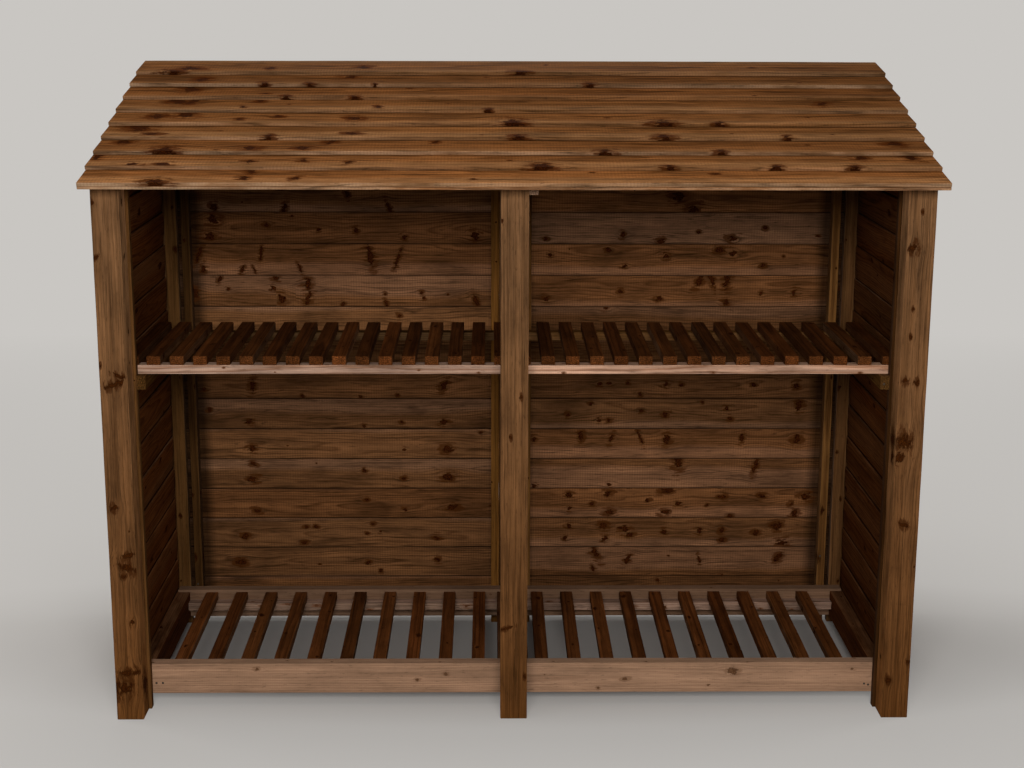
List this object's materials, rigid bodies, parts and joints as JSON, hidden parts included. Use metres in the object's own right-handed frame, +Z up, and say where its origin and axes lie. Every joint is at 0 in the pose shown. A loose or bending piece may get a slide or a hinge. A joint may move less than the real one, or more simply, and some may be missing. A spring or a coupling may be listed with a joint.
{
  "type": "log store",
  "caption": "Open-fronted timber log store with slatted floor and shelf in side-by-side bays, boarded back and sides and a sloping roof of lapped boards.",
  "frame": {"origin": "on the ground, under the centre of the store's bounding box", "axes": "+X to the right of someone facing the open front, -Y out of the open front, +Z up"},
  "size_m": [2.27, 0.9646, 1.797],
  "materials": {
    "post_timber": "pressure-treated sawn softwood, brown",
    "frame_timber": "pressure-treated sawn softwood, dull brown",
    "wall_board": "rough-sawn feather-edge board, brown treated",
    "roof_board": "rough-sawn feather-edge board, golden brown treated",
    "rail_timber": "planed softwood, pale tan",
    "slat_timber": "sawn slat, dark brown treated",
    "nail_steel": "round nail heads in dulled zinc"
  },
  "bodies": {
    "root": {"back_left_boards": "wall_board", "back_left_inner_batten": "frame_timber", "back_left_outer_batten": "frame_timber", "back_left_post": "post_timber", "back_left_stile": "frame_timber", "back_middle_post": "post_timber", "back_right_boards": "wall_board", "back_right_inner_batten": "frame_timber", "back_right_outer_batten": "frame_timber", "back_right_post": "post_timber", "back_right_stile": "frame_timber", "floor_left_end_rails": "slat_timber", "floor_left_front_ledger": "frame_timber", "floor_left_front_rail": "rail_timber", "floor_left_rear_ledger": "frame_timber", "floor_left_rear_rail": "rail_timber", "floor_left_slats": "slat_timber", "floor_right_end_rails": "slat_timber", "floor_right_front_ledger": "frame_timber", "floor_right_front_rail": "rail_timber", "floor_right_rear_ledger": "frame_timber", "floor_right_rear_rail": "rail_timber", "floor_right_slats": "slat_timber", "front_left_post": "post_timber", "front_left_stile": "frame_timber", "front_middle_post": "post_timber", "front_middle_stile": "frame_timber", "front_right_post": "post_timber", "front_right_stile": "frame_timber", "left_side_boards": "wall_board", "right_side_boards": "wall_board", "roof_boards": "roof_board", "roof_eave_strip": "roof_board", "roof_left_rafter": "frame_timber", "roof_middle_rafter": "frame_timber", "roof_right_rafter": "frame_timber", "shelf_left_bearer": "frame_timber", "shelf_left_front_rail": "rail_timber", "shelf_left_rear_rail": "rail_timber", "shelf_left_slats": "slat_timber", "shelf_middle_bearer": "frame_timber", "shelf_right_bearer": "frame_timber", "shelf_right_front_rail": "rail_timber", "shelf_right_rear_rail": "rail_timber", "shelf_right_slats": "slat_timber"}
  },
  "joints": []
}
